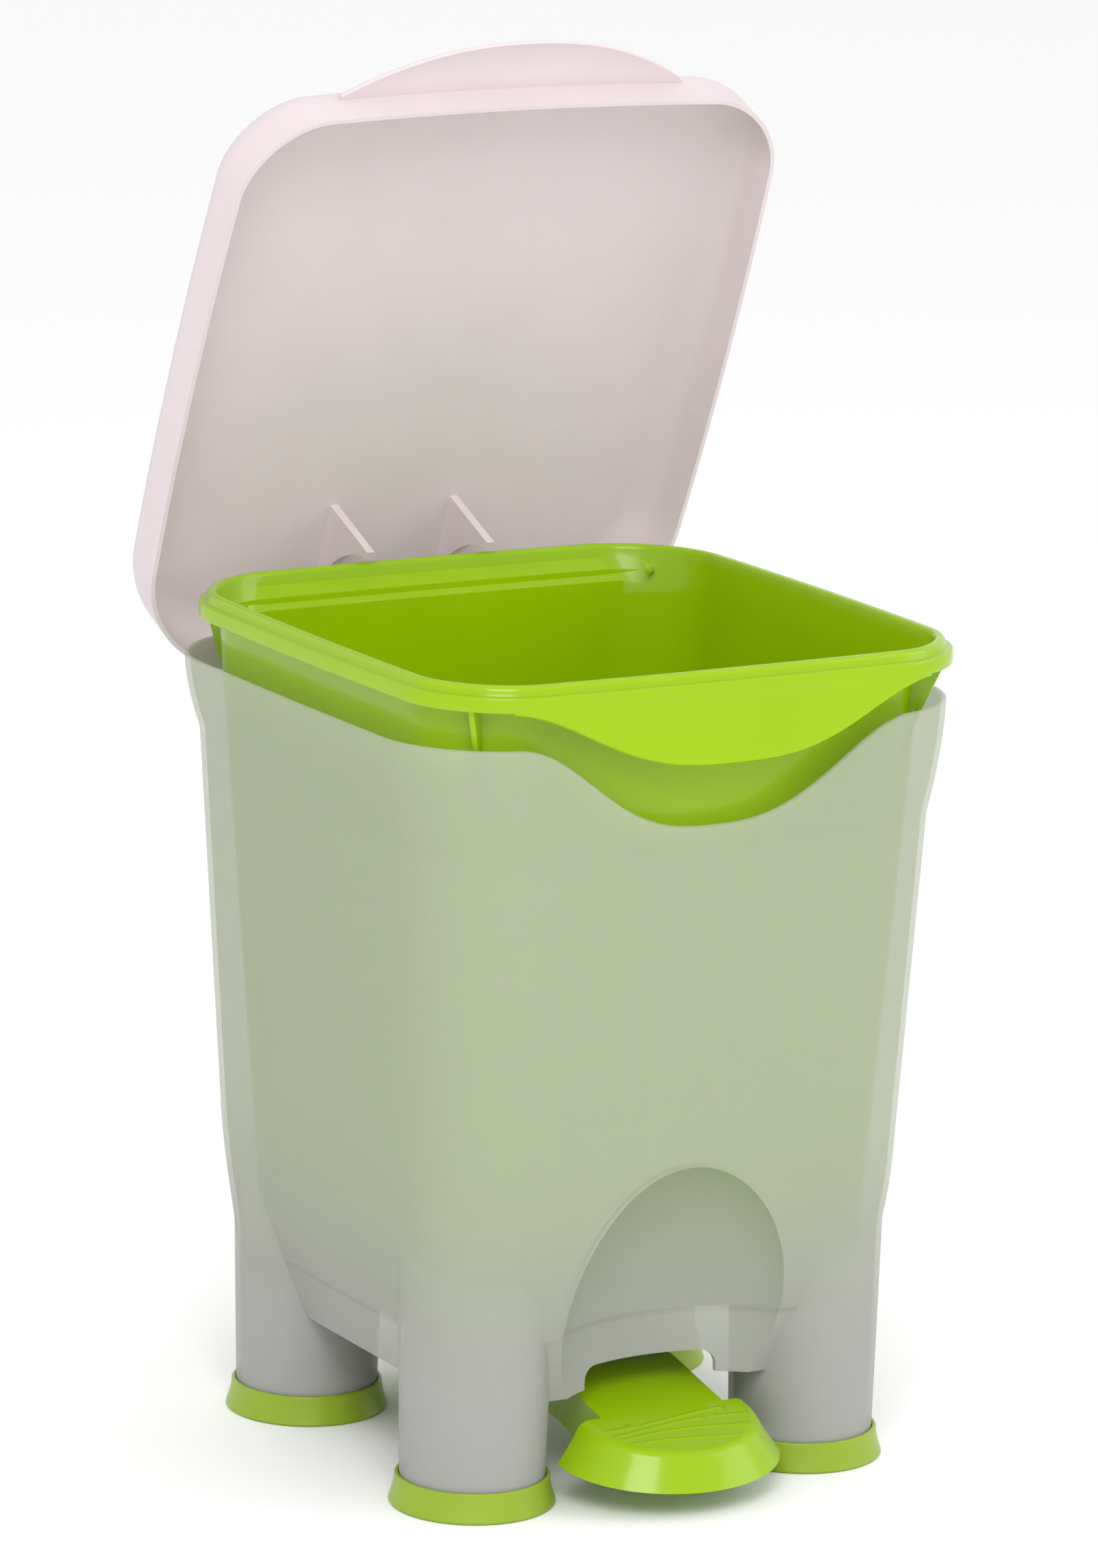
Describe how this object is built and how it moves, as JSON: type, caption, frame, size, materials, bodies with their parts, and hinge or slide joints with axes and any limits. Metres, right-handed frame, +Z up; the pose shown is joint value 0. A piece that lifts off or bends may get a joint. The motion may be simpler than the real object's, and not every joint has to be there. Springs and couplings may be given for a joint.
{
  "type": "pedal bin",
  "caption": "Small kitchen pedal bin: see-through square body on four legs, green inner bucket, hinged lid, toe pedal and lift wire.",
  "frame": {"origin": "on the floor, under the middle of the whole object's box with the lid open", "axes": "+Z up; -Y is the front, where the pedal is; +X is the right-hand side of someone facing the front"},
  "size_m": [0.2116, 0.2544, 0.4762],
  "materials": {
    "frosted_polypropylene": "frosted, lets the green bucket glow through",
    "frosted_lid_polypropylene": "frosted, slightly warm grey",
    "green_polypropylene": "glossy lime green",
    "green_soft_polypropylene": "satin lime green",
    "galvanised_steel": "dull galvanised"
  },
  "bodies": {
    "body": {"outer_body": "frosted_polypropylene", "inner_bucket": "green_polypropylene", "foot_shoe_front_left": "green_soft_polypropylene", "foot_shoe_front_right": "green_soft_polypropylene", "foot_shoe_back_left": "green_soft_polypropylene", "foot_shoe_back_right": "green_soft_polypropylene", "lid_hinge_pin": "galvanised_steel", "pedal_pivot_pin": "galvanised_steel", "pedal_pin_cap_left": "galvanised_steel", "pedal_pin_cap_right": "galvanised_steel"},
    "lid": {"lid": "frosted_lid_polypropylene"},
    "pedal": {"pedal": "green_polypropylene"},
    "lift_wire": {"lift_wire": "galvanised_steel"}
  },
  "joints": [
    {"name": "lid_hinge", "type": "hinge", "parent": "body", "child": "lid", "pos_m": [0, 0.08719, 0.2495], "axis": [1, 0, 0], "range_deg": [0, 66.7]},
    {"name": "pedal_pivot", "type": "hinge", "parent": "body", "child": "pedal", "pos_m": [0, 0.01269, 0.033], "axis": [1, 0, 0], "range_deg": [-6.74, 0]},
    {"name": "wire_slide", "type": "slide", "parent": "body", "child": "lift_wire", "axis": [0, 0.0593, 0.9982], "range_m": [-0.00665, 0]}
  ],
  "couplings": [
    {"joint": "pedal_pivot", "follows": "lid_hinge", "ratio": -0.10035},
    {"joint": "wire_slide", "follows": "lid_hinge", "m_per_rad": -0.005667}
  ]
}
